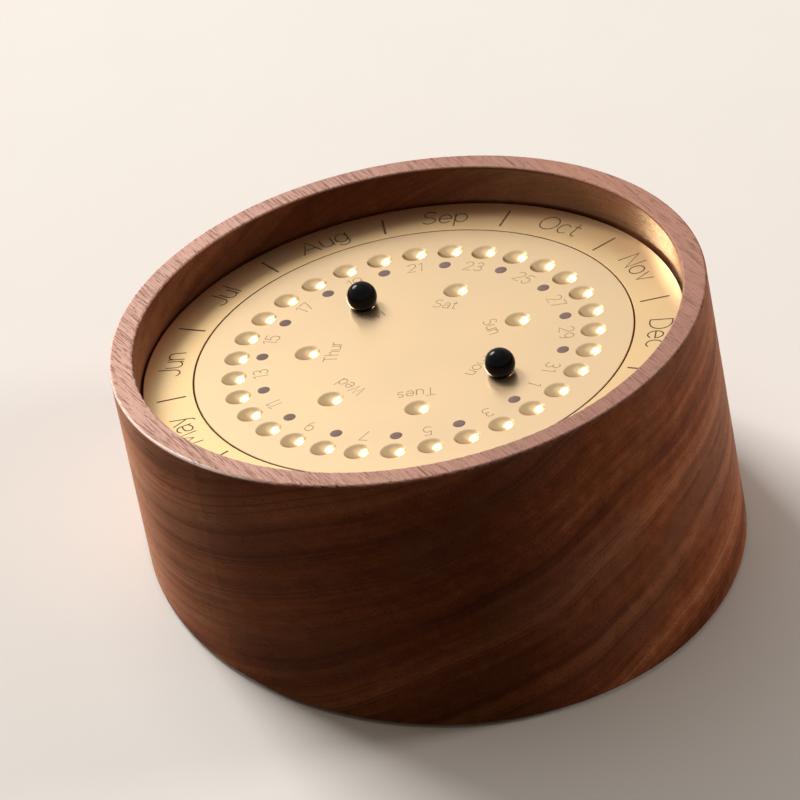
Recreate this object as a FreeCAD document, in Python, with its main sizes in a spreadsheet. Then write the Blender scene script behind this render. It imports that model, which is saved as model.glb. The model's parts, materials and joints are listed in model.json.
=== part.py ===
import FreeCAD
import Part
import Sketcher

import math
import os

# A perpetual desk calendar: a leaning walnut drum with a brass dial sunk in its top.
# The month ring turns about the fixed date disc, and two loose balls mark the date and the weekday.
# World frame: desk at z = 0, +Z up, the user at -Y, the high side of the drum at +Y.
# Dial frame: origin on the brass face at the drum's axis, z along the axis, +y towards the high side.
# Lengths in millimetres, angles in degrees.

DIMENSIONS = [
    ("drum_dia", 120.0, "outside diameter of the drum, square to its axis"),
    ("axis_length", 50.4, "drum length along its axis, from the slanted foot to the rim"),
    ("lean", 10.3, "slant of the foot, which tips the dial towards the user"),
    ("rim_wall", 4.8, "width of the flat rim round the recess"),
    ("dial_drop", 8.4, "depth of the brass face below the rim"),
    ("rim_round", 0.5, "rounding of the rim's outer and inner arris"),
    ("foot_bevel", 0.5, "bevel round the foot"),
    ("ring_gap", 0.6, "free gap between the month ring and the walnut"),
    ("month_band", 10.2, "visible width of the month ring"),
    ("ring_thick", 3.0, "thickness of the month ring"),
    ("split_gap", 0.3, "width of the line between the month ring and the date disc"),
    ("lip_reach", 2.5, "reach of the ring's lip under the date disc"),
    ("lip_thick", 1.4, "thickness of that lip"),
    ("lip_play", 0.1, "end play of the lip under the date disc"),
    ("turning_fit", 0.05, "radial clearance of the turning month ring"),
    ("edge_bevel", 0.1, "bevel on the brass edges"),
    ("glide_thick", 0.5, "thickness of the glide ring"),
    ("glide_play", 0.05, "free play between the glide ring and the month ring"),
    ("glide_margin", 1.2, "glide ring's step in from both edges of the month ring"),
    ("month_count", 12, "months on the ring"),
    ("month_turn", 111.6, "dial angle of the tick that closes the twelfth month"),
    ("tick_inset", 1.7, "start of a tick, outside the line"),
    ("tick_length", 5.9, "radial length of a tick"),
    ("tick_width", 0.3, "width of a tick groove"),
    ("tick_depth", 0.15, "depth of a tick groove"),
    ("ball_dia", 6.2, "diameter of a marker ball"),
    ("dimple_dia", 5.2, "mouth of a dimple"),
    ("dimple_ease", 0.5, "dimple's hollow over the ball's radius"),
    ("seat_gap", 0.05, "gap under a seated ball"),
    ("day_count", 31, "day dimples"),
    ("day_inset", 8.2, "day dimples' step in from the line"),
    ("day_turn", 107.8, "dial angle of the last day dimple"),
    ("week_count", 7, "weekday dimples"),
    ("week_inset", 14.4, "weekday dimples' step in from the day dimples"),
    ("week_turn", 149.4, "dial angle of the first weekday dimple"),
    ("disc_boss_dia", 14.0, "boss under the date disc"),
    ("boss_recess", 0.5, "boss end above the carrier's underside"),
    ("boss_fit", 0.1, "radial clearance round the boss"),
    ("carrier_thick", 3.0, "thickness of the carrier plate"),
    ("carrier_fit", 0.2, "carrier plate's radial clearance in the recess"),
    ("pin_count", 2, "locating pins"),
    ("pin_dia", 3.0, "diameter of a locating pin"),
    ("pin_grip", 1.6, "locating pin's depth in the date disc"),
    ("pin_inset", 6.8, "locating pins' step out from the weekday dimples"),
    ("pin_turn", 36.0, "dial angle of the first locating pin"),
    ("screw_count", 4, "screws in the carrier plate, and in the base cover"),
    ("screw_dia", 3.0, "shank of a wood screw"),
    ("screw_head", 6.0, "head of a wood screw"),
    ("screw_head_deep", 1.6, "height of a wood screw's head"),
    ("screw_fit", 0.1, "radial clearance of a screw in its hole"),
    ("carrier_screw_long", 11.0, "length of a carrier screw"),
    ("carrier_screw_inset", 4.5, "carrier screws' step in from the day dimples"),
    ("cover_screw_long", 13.0, "length of a base cover screw"),
    ("drive_dia", 2.4, "socket in a screw's head"),
    ("drive_depth", 0.9, "depth of that socket"),
    ("floor_thick", 10.0, "walnut left under the carrier plate"),
    ("cavity_dia", 34.0, "bore in the foot for the nut and its wrench"),
    ("cover_wall", 13.0, "walnut left round the base cover"),
    ("cover_thick", 3.0, "thickness of the base cover"),
    ("cover_fit", 0.3, "radial clearance of the base cover"),
    ("pad_thick", 2.0, "thickness of the felt pad"),
    ("pad_proud", 0.5, "felt pad standing out below the foot"),
    ("pad_margin", 0.6, "felt pad's step in from the cover's edge"),
    ("stud_dia", 6.0, "centre stud"),
    ("stud_grip", 4.2, "stud's depth in the boss"),
    ("stud_fit", 0.3, "stud's radial clearance in the walnut"),
    ("stud_spare", 1.5, "stud standing out past the nut"),
    ("washer_dia", 18.0, "large washer under the walnut floor"),
    ("washer_thick", 1.6, "thickness of the large washer"),
    ("spring_dia", 11.8, "split spring washer"),
    ("spring_thick", 1.5, "thickness of the spring washer"),
    ("spring_split", 1.2, "gap in the spring washer"),
    ("nut_across", 10.0, "nut across its flats"),
    ("nut_high", 5.0, "height of the nut"),
]

# Sizes that follow from the ones above.
DERIVED = [
    ("recess_rad", "drum_dia / 2 - rim_wall"),
    ("ring_rad", "recess_rad - ring_gap"),
    ("split_rad", "ring_rad - month_band"),
    ("ring_bore", "split_rad + split_gap / 2"),
    ("disc_rad", "split_rad - split_gap / 2"),
    ("lip_bore", "ring_bore - lip_reach"),
    ("spigot_rad", "lip_bore - turning_fit"),
    ("lip_top", "ring_thick - lip_thick"),
    ("disc_flange", "lip_top - lip_play"),
    ("disc_thick", "ring_thick + glide_play + glide_thick"),
    ("seat_depth", "disc_thick + carrier_thick"),
    ("floor_depth", "seat_depth + floor_thick"),
    ("boss_end", "seat_depth - boss_recess"),
    ("stud_top", "boss_end - stud_grip"),
    ("stud_end", "floor_depth + washer_thick + spring_thick + nut_high + stud_spare"),
    ("day_rad", "split_rad - day_inset"),
    ("week_rad", "day_rad - week_inset"),
    ("pin_rad", "week_rad + pin_inset"),
    ("carrier_screw_rad", "day_rad - carrier_screw_inset"),
    ("cutter_rad", "ball_dia / 2 + dimple_ease"),
    ("cutter_rise", "sqrt(cutter_rad ^ 2 - (dimple_dia / 2) ^ 2)"),
    ("ball_high", "cutter_rise - cutter_rad + ball_dia / 2 + seat_gap"),
    ("cavity_rad", "cavity_dia / 2"),
    ("cover_hole_rad", "drum_dia / 2 - cover_wall"),
    ("cover_rad", "cover_hole_rad - cover_fit"),
    ("cover_top", "pad_thick + cover_thick"),
    ("cover_screw_rad", "(cavity_rad + cover_hole_rad) / 2"),
    ("foot_depth", "axis_length - dial_drop"),
    ("foot_drop", "drum_dia / 2 * tan(lean)"),
    ("dial_z", "pad_proud + foot_depth * cos(lean)"),
    ("axis_foot_y", "(axis_length * sin(lean) + drum_dia / 2 * (cos(lean) - 1 / cos(lean))) / 2"),
    ("dial_y", "axis_foot_y - foot_depth * sin(lean)"),
]

SHEET = "Sizes"
OUTPUT = "parts"
OVERCUT = 1.0

# A sketch's origin as a point, and each way of measuring from it with the axis on which it is 0.
ORIGIN_POINT = (-1, 1)
MEASURES = (("DistanceX", -2), ("DistanceY", -1))


def make_sheet(doc):
    """The sheet of driving sizes, followed by the sizes worked out from them."""
    sheet = doc.addObject("Spreadsheet::Sheet", SHEET)
    row = 1
    for alias, value, note in DIMENSIONS:
        sheet.set(f"A{row}", note)
        sheet.set(f"B{row}", str(value))
        sheet.setAlias(f"B{row}", alias)
        row += 1
    doc.recompute()
    for alias, formula in DERIVED:
        sheet.set(f"A{row}", alias.replace("_", " "))
        sheet.set(f"B{row}", "=" + formula)
        sheet.setAlias(f"B{row}", alias)
        row += 1
    doc.recompute()
    return sheet


def in_sheet(formula):
    """The formula with each alias written as a reference to the sheet."""
    aliases = {row[0] for row in DIMENSIONS} | {row[0] for row in DERIVED}
    word = ""
    written = ""
    for letter in formula + " ":
        if letter.isalnum() or letter == "_":
            word += letter
        else:
            written += f"{SHEET}.{word}" if word in aliases else word
            written += letter
            word = ""
    return written.strip()


def bind(thing, **formulas):
    """Ties properties of an object to formulas in the sheet's sizes."""
    for name, formula in formulas.items():
        thing.setExpression(name.replace("__", "."), in_sheet(formula))


def lean_with_drum(thing):
    """Places an object modelled in the dial frame where the drum holds it."""
    thing.Placement.Rotation = FreeCAD.Rotation(FreeCAD.Vector(1, 0, 0), 1.0)
    bind(thing, Placement__Base__y="dial_y", Placement__Base__z="dial_z", Placement__Rotation__Angle="lean")


def stand_on_foot(thing, height="0"):
    """Places an object modelled on the desk's plane under the drum's axis."""
    bind(thing, Placement__Base__y="axis_foot_y", Placement__Base__z=height)


def new_body(doc, label):
    body = doc.addObject("PartDesign::Body", label)
    body.Label = label
    return body


def origin_part(body, role):
    """The origin plane or axis of a body that has this role."""
    for feature in body.Origin.OriginFeatures:
        if feature.Role == role:
            return feature
    raise ValueError(f"{body.Label} has no {role}")


def new_sketch(body, name, role):
    sketch = body.newObject("Sketcher::SketchObject", name)
    sketch.AttachmentSupport = (origin_part(body, role), [""])
    sketch.MapMode = "FlatFace"
    return sketch


def value_of(sheet, formula):
    """The number that a formula in the sheet's sizes gives now."""
    sheet.set("D1", "=" + formula)
    sheet.recompute()
    return float(sheet.get("D1"))


def pin_point(sketch, sheet, geometry, end, across, up):
    """Holds a sketch point at two formulas, or on an axis where a formula is 0."""
    for (kind, axis), formula in zip(MEASURES, (across, up)):
        if formula == "0":
            sketch.addConstraint(Sketcher.Constraint("PointOnObject", geometry, end, axis))
            continue
        size = value_of(sheet, formula)
        number = sketch.addConstraint(Sketcher.Constraint(kind, *ORIGIN_POINT, geometry, end, size))
        sketch.setExpression(f"Constraints[{number}]", in_sheet(formula))


def add_outline(sketch, sheet, corners):
    """A closed outline of straight lines through corners given as pairs of formulas."""
    points = [FreeCAD.Vector(value_of(sheet, a), value_of(sheet, b), 0) for a, b in corners]
    count = len(points)
    for index in range(count):
        sketch.addGeometry(Part.LineSegment(points[index], points[(index + 1) % count]), False)
    for index in range(count):
        sketch.addConstraint(Sketcher.Constraint("Coincident", index, 2, (index + 1) % count, 1))
    for index, (across, up) in enumerate(corners):
        pin_point(sketch, sheet, index, 1, across, up)


def add_circle(sketch, sheet, radius, across="0", up="0"):
    """A circle of a radius formula, centred at two formulas."""
    centre = FreeCAD.Vector(value_of(sheet, across), value_of(sheet, up), 0)
    geometry = sketch.addGeometry(Part.Circle(centre, FreeCAD.Vector(0, 0, 1), value_of(sheet, radius)), False)
    number = sketch.addConstraint(Sketcher.Constraint("Radius", geometry, value_of(sheet, radius)))
    sketch.setExpression(f"Constraints[{number}]", in_sheet(radius))
    if across == "0" and up == "0":
        sketch.addConstraint(Sketcher.Constraint("Coincident", geometry, 3, *ORIGIN_POINT))
    else:
        pin_point(sketch, sheet, geometry, 3, across, up)


def turned(body, sheet, name, corners):
    """A full revolution, about the body's z axis, of an outline in radius and height."""
    sketch = new_sketch(body, name + "Section", "XZ_Plane")
    add_outline(sketch, sheet, corners)
    feature = body.newObject("PartDesign::Revolution", name)
    feature.Profile = (sketch, [""])
    feature.ReferenceAxis = (sketch, ["V_Axis"])
    feature.Angle = 360.0
    body.Document.recompute()
    return feature


def pocket(body, sketch, name, depth, upwards=False, through=False):
    """A pocket below its sketch, or above it, that has to remove material."""
    before = body.Shape.Volume
    feature = body.newObject("PartDesign::Pocket", name)
    feature.Profile = (sketch, [""])
    feature.Reversed = upwards
    if through:
        feature.Type = "ThroughAll"
    else:
        bind(feature, Length=depth)
    body.Document.recompute()
    if body.Shape.Volume >= before:
        raise ValueError(f"{name} removed nothing")
    return feature


def polar(body, name, originals, count):
    """Full-circle copies of features about the body's z axis."""
    pattern = body.newObject("PartDesign::PolarPattern", name)
    pattern.Originals = originals
    pattern.Axis = (origin_part(body, "Z_Axis"), [""])
    pattern.Angle = 360.0
    bind(pattern, Occurrences=count)
    body.Tip = pattern
    body.Document.recompute()
    return pattern


def rounded_rim(body, sheet, radii, height):
    """A fillet on the circular edges of given radii at one height."""
    wanted = [value_of(sheet, radius) for radius in radii]
    level = value_of(sheet, height)
    names = []
    base = body.Tip
    for index, edge in enumerate(base.Shape.Edges, start=1):
        curve = edge.Curve
        if not isinstance(curve, Part.Circle) or abs(curve.Center.z - level) > 1e-6:
            continue
        if any(abs(curve.Radius - radius) < 1e-6 for radius in wanted):
            names.append(f"Edge{index}")
    fillet = body.newObject("PartDesign::Fillet", "RimRound")
    fillet.Base = (base, names)
    bind(fillet, Radius="rim_round")
    body.Tip = fillet
    body.Document.recompute()


def bevelled_foot(body, sheet):
    """A bevel on the slanted ellipse where the foot meets the outside of the drum."""
    radius = value_of(sheet, "drum_dia / 2")
    names = []
    base = body.Tip
    for index, edge in enumerate(base.Shape.Edges, start=1):
        curve = edge.Curve
        if isinstance(curve, Part.Ellipse) and abs(curve.MinorRadius - radius) < 1e-6:
            names.append(f"Edge{index}")
    bevel = body.newObject("PartDesign::Chamfer", "FootBevel")
    bevel.Base = (base, names)
    bind(bevel, Size="foot_bevel")
    body.Tip = bevel
    body.Document.recompute()


def on_foot_plane(sketch):
    """Moves a sketch from the dial plane to the drum's slanted foot."""
    sketch.AttachmentOffset = FreeCAD.Placement(
        FreeCAD.Vector(0, 0, 0), FreeCAD.Rotation(FreeCAD.Vector(1, 0, 0), -1.0)
    )
    bind(sketch, AttachmentOffset__Base__z="-foot_depth", AttachmentOffset__Rotation__Angle="-lean")


def drum_body(doc, sheet):
    """The walnut drum: turned outside, recess and nut cavity, then cut slanting at its foot."""
    body = new_body(doc, "drum_body")
    blank_end = f"-(foot_depth + foot_drop + {OVERCUT})"
    turned(body, sheet, "Blank", [
        ("stud_dia / 2 + stud_fit", "-seat_depth"),
        ("recess_rad", "-seat_depth"),
        ("recess_rad", "dial_drop"),
        ("drum_dia / 2", "dial_drop"),
        ("drum_dia / 2", blank_end),
        ("cavity_rad", blank_end),
        ("cavity_rad", "-floor_depth"),
        ("stud_dia / 2 + stud_fit", "-floor_depth"),
    ])
    foot = new_sketch(body, "FootCutSketch", "XY_Plane")
    on_foot_plane(foot)
    add_circle(foot, sheet, "drum_dia")
    pocket(body, foot, "FootCut", "0", through=True)
    rebate = new_sketch(body, "CoverRebateSketch", "XY_Plane")
    on_foot_plane(rebate)
    add_circle(rebate, sheet, "cover_hole_rad")
    pocket(body, rebate, "CoverRebate", "cover_top - pad_proud", upwards=True)
    pilots = new_sketch(body, "CarrierPilotSketch", "XY_Plane")
    add_circle(pilots, sheet, "screw_dia / 2 + screw_fit", "carrier_screw_rad", "0")
    pilot = pocket(body, pilots, "CarrierPilot", "disc_thick + carrier_screw_long + screw_fit")
    polar(body, "CarrierPilots", [pilot], "screw_count")
    cover_pilot(body, sheet)
    rounded_rim(body, sheet, ["recess_rad", "drum_dia / 2"], "dial_drop")
    bevelled_foot(body, sheet)
    lean_with_drum(body)
    return body


def cover_pilot(body, sheet):
    """Pilot holes up from the slanted foot for the base cover's screws."""
    sketch = new_sketch(body, "CoverPilotSketch", "XY_Plane")
    on_foot_plane(sketch)
    for index in range(int(value_of(sheet, "screw_count"))):
        turn = f"(45 + {index} * 360 / screw_count)"
        add_circle(
            sketch, sheet, "screw_dia / 2 + screw_fit",
            f"cover_screw_rad * cos({turn})", f"cover_screw_rad * sin({turn})",
        )
    pocket(body, sketch, "CoverPilots", "pad_thick + cover_screw_long + screw_fit - pad_proud", upwards=True)


def month_ring(doc, sheet):
    """The brass ring: a lip holds it under the date disc, and ticks part its twelve months."""
    body = new_body(doc, "month_ring")
    turned(body, sheet, "RingBlank", [
        ("ring_bore + edge_bevel", "0"),
        ("ring_rad - edge_bevel", "0"),
        ("ring_rad", "-edge_bevel"),
        ("ring_rad", "-ring_thick"),
        ("lip_bore", "-ring_thick"),
        ("lip_bore", "-lip_top"),
        ("ring_bore", "-lip_top"),
        ("ring_bore", "-edge_bevel"),
    ])
    sketch = new_sketch(body, "TickSketch", "XY_Plane")
    sketch.AttachmentOffset = FreeCAD.Placement(
        FreeCAD.Vector(0, 0, 0), FreeCAD.Rotation(FreeCAD.Vector(0, 0, 1), 1.0)
    )
    bind(sketch, AttachmentOffset__Rotation__Angle="month_turn")
    start = "split_rad + tick_inset"
    finish = "split_rad + tick_inset + tick_length"
    add_outline(sketch, sheet, [
        (start, "-tick_width / 2"),
        (finish, "-tick_width / 2"),
        (finish, "tick_width / 2"),
        (start, "tick_width / 2"),
    ])
    tick = pocket(body, sketch, "Tick", "tick_depth")
    polar(body, "Ticks", [tick], "month_count")
    lean_with_drum(body)
    return body


def dimple(body, name, radius, turn):
    """A spherical hollow in the brass face at a radius and a dial angle."""
    hollow = body.newObject("PartDesign::SubtractiveSphere", name)
    bind(
        hollow,
        Radius="cutter_rad",
        Placement__Base__x=f"{radius} * cos({turn})",
        Placement__Base__y=f"{radius} * sin({turn})",
        Placement__Base__z="cutter_rise",
    )
    body.Document.recompute()
    return hollow


def date_disc(doc, sheet):
    """The fixed brass disc: a flange over the ring's lip, a boss for the stud, and rings of dimples."""
    body = new_body(doc, "date_disc")
    turned(body, sheet, "DiscBlank", [
        ("0", "0"),
        ("disc_rad - edge_bevel", "0"),
        ("disc_rad", "-edge_bevel"),
        ("disc_rad", "-disc_flange"),
        ("spigot_rad", "-disc_flange"),
        ("spigot_rad", "-disc_thick"),
        ("disc_boss_dia / 2", "-disc_thick"),
        ("disc_boss_dia / 2", "-boss_end"),
        ("stud_dia / 2", "-boss_end"),
        ("stud_dia / 2", "-stud_top"),
        ("0", "-stud_top"),
    ])
    sketch = new_sketch(body, "PinHoleSketch", "XY_Plane")
    sketch.AttachmentOffset = FreeCAD.Placement(
        FreeCAD.Vector(0, 0, -1), FreeCAD.Rotation(FreeCAD.Vector(0, 0, 1), 1.0)
    )
    bind(sketch, AttachmentOffset__Base__z="-disc_thick", AttachmentOffset__Rotation__Angle="pin_turn")
    add_circle(sketch, sheet, "pin_dia / 2", "pin_rad", "0")
    hole = pocket(body, sketch, "PinHole", "pin_grip", upwards=True)
    polar(body, "PinHoles", [hole], "pin_count")
    day = dimple(body, "DayDimple", "day_rad", "day_turn")
    polar(body, "DayDimples", [day], "day_count")
    weekday = dimple(body, "WeekdayDimple", "week_rad", "week_turn")
    polar(body, "WeekdayDimples", [weekday], "week_count")
    lean_with_drum(body)
    return body


def marker_ball(doc, label, weekday):
    """A loose ball in the dimple of a weekday, counted clockwise from Sunday as 0."""
    ball = doc.addObject("Part::Sphere", label)
    ball.Label = label
    turn = f"(week_turn - {weekday} * 360 / week_count)"
    ahead = f"(week_rad * sin({turn}))"
    ball.Placement.Rotation = FreeCAD.Rotation(FreeCAD.Vector(1, 0, 0), 1.0)
    bind(
        ball,
        Radius="ball_dia / 2",
        Placement__Base__x=f"week_rad * cos({turn})",
        Placement__Base__y=f"dial_y + {ahead} * cos(lean) - ball_high * sin(lean)",
        Placement__Base__z=f"dial_z + {ahead} * sin(lean) + ball_high * cos(lean)",
        Placement__Rotation__Angle="lean",
    )
    return ball


def carrier_plate(doc, sheet):
    """The aluminium plate that seats the disc and the glide ring, screwed to the walnut floor."""
    body = new_body(doc, "carrier_plate")
    turned(body, sheet, "CarrierBlank", [
        ("disc_boss_dia / 2 + boss_fit", "-disc_thick"),
        ("recess_rad - carrier_fit", "-disc_thick"),
        ("recess_rad - carrier_fit", "-seat_depth"),
        ("disc_boss_dia / 2 + boss_fit", "-seat_depth"),
    ])
    pins = new_sketch(body, "CarrierPinSketch", "XY_Plane")
    pins.AttachmentOffset = FreeCAD.Placement(
        FreeCAD.Vector(0, 0, 0), FreeCAD.Rotation(FreeCAD.Vector(0, 0, 1), 1.0)
    )
    bind(pins, AttachmentOffset__Rotation__Angle="pin_turn")
    add_circle(pins, sheet, "pin_dia / 2", "pin_rad", "0")
    hole = pocket(body, pins, "CarrierPinHole", "0", through=True)
    polar(body, "CarrierPinHoles", [hole], "pin_count")
    countersunk(body, "Carrier", "carrier_screw_rad", "0", "-disc_thick", "carrier_thick")
    lean_with_drum(body)
    return body


def countersunk(body, name, radius, turn, face, thick, facing_down=False):
    """Countersunk screw holes through a plate, copied round the body's z axis."""
    centre = {
        "Placement__Base__x": f"{radius} * cos({turn})",
        "Placement__Base__y": f"{radius} * sin({turn})",
    }
    shank = body.newObject("PartDesign::SubtractiveCylinder", name + "ScrewHole")
    sink = body.newObject("PartDesign::SubtractiveCone", name + "Countersink")
    foot = face if facing_down else f"{face} - {thick}"
    bind(shank, Radius="screw_dia / 2 + screw_fit", Height=thick, Placement__Base__z=foot, **centre)
    wide = "screw_head / 2"
    narrow = "screw_dia / 2"
    if facing_down:
        bind(sink, Radius1=wide, Radius2=narrow, Height="screw_head_deep", Placement__Base__z=face, **centre)
    else:
        low = f"{face} - screw_head_deep"
        bind(sink, Radius1=narrow, Radius2=wide, Height="screw_head_deep", Placement__Base__z=low, **centre)
    body.Document.recompute()
    polar(body, name + "ScrewHoles", [shank, sink], "screw_count")


def primitive(doc, kind, name, **formulas):
    thing = doc.addObject(kind, name)
    bind(thing, **formulas)
    return thing


def joined(doc, kind, label, first, second):
    """A boolean of two objects, under its own label."""
    result = doc.addObject(kind, label)
    result.Label = label
    result.Base = first
    result.Tool = second
    return result


def flat_ring(doc, label, outer, inner, low, thick):
    """A plain ring about the axis, from its lower face up."""
    disc = primitive(doc, "Part::Cylinder", label + "_disc", Radius=outer, Height=thick, Placement__Base__z=low)
    bore = primitive(doc, "Part::Cylinder", label + "_bore", Radius=inner, Height=thick, Placement__Base__z=low)
    return joined(doc, "Part::Cut", label, disc, bore)


def wood_screw(doc, name, face, length, centre, facing_down=False):
    """A countersunk screw whose head lies flush in a face, with a round driving socket."""
    if facing_down:
        shank_low = f"{face} + screw_head_deep"
        head = {"Radius1": "screw_head / 2", "Radius2": "screw_dia / 2", "Placement__Base__z": face}
        socket_low = face
    else:
        shank_low = f"{face} - {length}"
        head = {"Radius1": "screw_dia / 2", "Radius2": "screw_head / 2"}
        head["Placement__Base__z"] = f"{face} - screw_head_deep"
        socket_low = f"{face} - drive_depth"
    shank = primitive(
        doc, "Part::Cylinder", name + "_shank", Radius="screw_dia / 2",
        Height=f"{length} - screw_head_deep", Placement__Base__z=shank_low, **centre,
    )
    cone = primitive(doc, "Part::Cone", name + "_head", Height="screw_head_deep", **head, **centre)
    socket = primitive(
        doc, "Part::Cylinder", name + "_socket", Radius="drive_dia / 2", Height="drive_depth",
        Placement__Base__z=socket_low, **centre,
    )
    whole = joined(doc, "Part::Fuse", name + "_whole", shank, cone)
    return joined(doc, "Part::Cut", name, whole, socket)


def around(radius, turn):
    """The centre of a piece at a radius and an angle about the z axis."""
    return {
        "Placement__Base__x": f"{radius} * cos({turn})",
        "Placement__Base__y": f"{radius} * sin({turn})",
    }


def group(doc, label, pieces):
    """Like pieces that share one node as separate solids."""
    compound = doc.addObject("Part::Compound", label)
    compound.Label = label
    compound.Links = pieces
    return compound


def screw_groups(doc, sheet):
    """The carrier's screws, driven down into the floor, and the cover's, driven up into the foot."""
    count = int(value_of(sheet, "screw_count"))
    down = []
    up = []
    for index in range(count):
        turn = f"({index} * 360 / screw_count)"
        centre = around("carrier_screw_rad", turn)
        down.append(wood_screw(doc, f"carrier_screw_{index}", "-disc_thick", "carrier_screw_long", centre))
        turn = f"(45 + {index} * 360 / screw_count)"
        centre = around("cover_screw_rad", turn)
        up.append(wood_screw(doc, f"cover_screw_{index}", "pad_thick", "cover_screw_long", centre, True))
    carrier_screws = group(doc, "carrier_screws", down)
    lean_with_drum(carrier_screws)
    cover_screws = group(doc, "cover_screws", up)
    stand_on_foot(cover_screws)
    return [carrier_screws, cover_screws]


def locating_pins(doc, sheet):
    """Pins that stop the date disc turning on the carrier plate."""
    pins = []
    for index in range(int(value_of(sheet, "pin_count"))):
        pins.append(primitive(
            doc, "Part::Cylinder", f"locating_pin_{index}", Radius="pin_dia / 2",
            Height="pin_grip + carrier_thick", Placement__Base__z="-seat_depth",
            **around("pin_rad", f"(pin_turn + {index} * 360 / pin_count)"),
        ))
    pair = group(doc, "locating_pins", pins)
    lean_with_drum(pair)
    return pair


def stud_stack(doc):
    """The centre stud, and the washers and nut that draw the disc down from below."""
    stud = primitive(
        doc, "Part::Cylinder", "centre_stud", Radius="stud_dia / 2", Height="stud_end - stud_top",
        Placement__Base__z="-stud_end",
    )
    stud_group = group(doc, "clamp_stud", [stud])
    washer = flat_ring(
        doc, "floor_washer", "washer_dia / 2", "stud_dia / 2 + stud_fit",
        "-(floor_depth + washer_thick)", "washer_thick",
    )
    ring = flat_ring(
        doc, "spring_ring", "spring_dia / 2", "stud_dia / 2 + stud_fit / 2",
        "-(floor_depth + washer_thick + spring_thick)", "spring_thick",
    )
    slot = primitive(
        doc, "Part::Box", "spring_slot", Length="spring_dia", Width="spring_split", Height="spring_thick",
        Placement__Base__y="-spring_split / 2", Placement__Base__z="-(floor_depth + washer_thick + spring_thick)",
    )
    spring = joined(doc, "Part::Cut", "spring_washer", ring, slot)
    hexagon = primitive(
        doc, "Part::Prism", "nut_hexagon", Circumradius="nut_across / 2 / cos(30)", Height="nut_high",
        Placement__Base__z="-(stud_end - stud_spare)",
    )
    hexagon.Polygon = 6
    bore = primitive(
        doc, "Part::Cylinder", "nut_bore", Radius="stud_dia / 2", Height="nut_high",
        Placement__Base__z="-(stud_end - stud_spare)",
    )
    nut = joined(doc, "Part::Cut", "clamp_nut", hexagon, bore)
    stack = [stud_group, washer, spring, nut]
    for piece in stack:
        lean_with_drum(piece)
    return stack


def base_cover(doc, sheet):
    """The steel plate that closes the nut cavity."""
    body = new_body(doc, "base_cover")
    turned(body, sheet, "CoverBlank", [
        ("0", "pad_thick"),
        ("cover_rad", "pad_thick"),
        ("cover_rad", "cover_top"),
        ("0", "cover_top"),
    ])
    countersunk(body, "Cover", "cover_screw_rad", "45", "pad_thick", "cover_thick", facing_down=True)
    stand_on_foot(body)
    return body


def base_pad(doc):
    """The felt disc glued under the cover, on which the calendar stands."""
    pad = primitive(doc, "Part::Cylinder", "base_pad", Radius="cover_rad - pad_margin", Height="pad_thick")
    stand_on_foot(pad)
    return pad


def build(doc):
    """Every piece of the calendar, in the order in which it goes together."""
    sheet = make_sheet(doc)
    pieces = [drum_body(doc, sheet), carrier_plate(doc, sheet)]
    glide = flat_ring(
        doc, "glide_ring", "ring_rad - glide_margin", "lip_bore + glide_margin", "-disc_thick", "glide_thick",
    )
    lean_with_drum(glide)
    pieces += [glide, month_ring(doc, sheet), date_disc(doc, sheet), locating_pins(doc, sheet)]
    pieces += screw_groups(doc, sheet)
    pieces += stud_stack(doc)
    pieces += [base_cover(doc, sheet), base_pad(doc)]
    pieces += [marker_ball(doc, "first_marker_ball", 1), marker_ball(doc, "second_marker_ball", 5)]
    sheet.clear("D1")
    doc.recompute()
    return pieces


def check(doc, pieces):
    """Stops on a failed object or on a piece with no sound shape."""
    for thing in doc.Objects:
        if {"Invalid", "Error"} & set(thing.State):
            raise ValueError(f"{thing.Label} failed: {thing.State}")
    for piece in pieces:
        shape = piece.Shape
        if shape.isNull() or not shape.isValid() or not shape.Solids:
            raise ValueError(f"{piece.Label} has no sound shape")
        box = shape.BoundBox
        print(
            f"{piece.Label:16s} solids {len(shape.Solids)} volume {shape.Volume:10.1f}"
            f" x {box.XMin:7.2f} {box.XMax:7.2f} y {box.YMin:7.2f} {box.YMax:7.2f}"
            f" z {box.ZMin:7.2f} {box.ZMax:7.2f}"
        )


def main():
    doc = FreeCAD.newDocument("DeskCalendar")
    pieces = build(doc)
    check(doc, pieces)
    os.makedirs(OUTPUT, exist_ok=True)
    for piece in pieces:
        piece.Shape.exportStep(os.path.join(OUTPUT, piece.Label + ".step"))


main()
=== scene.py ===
"""A leaning walnut desk calendar with a sunken brass dial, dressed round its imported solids.

Lengths are in metres, as the frame's are, unless a name ends in _mm. The dial's own axes have their
origin on the brass face at the drum's axis, z out of the dial and y towards the drum's high side.
"""

import json
import logging
import math
from dataclasses import dataclass
from enum import Enum
from typing import Any, Iterable, Sequence

import bmesh
import bpy
from mathutils import Matrix, Vector


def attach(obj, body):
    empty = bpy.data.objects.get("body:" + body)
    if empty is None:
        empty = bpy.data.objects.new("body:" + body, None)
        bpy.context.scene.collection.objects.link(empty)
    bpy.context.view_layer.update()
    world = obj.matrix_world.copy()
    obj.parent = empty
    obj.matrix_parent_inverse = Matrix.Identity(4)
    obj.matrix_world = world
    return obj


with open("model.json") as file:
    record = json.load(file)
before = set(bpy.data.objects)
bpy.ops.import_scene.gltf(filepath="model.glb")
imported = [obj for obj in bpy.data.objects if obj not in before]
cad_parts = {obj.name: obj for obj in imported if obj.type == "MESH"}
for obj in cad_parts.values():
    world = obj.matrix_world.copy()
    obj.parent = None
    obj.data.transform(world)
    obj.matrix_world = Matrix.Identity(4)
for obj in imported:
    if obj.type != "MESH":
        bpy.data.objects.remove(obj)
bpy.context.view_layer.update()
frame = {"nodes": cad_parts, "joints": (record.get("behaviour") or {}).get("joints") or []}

log = logging.getLogger("calendar")

MM = 0.001

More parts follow.
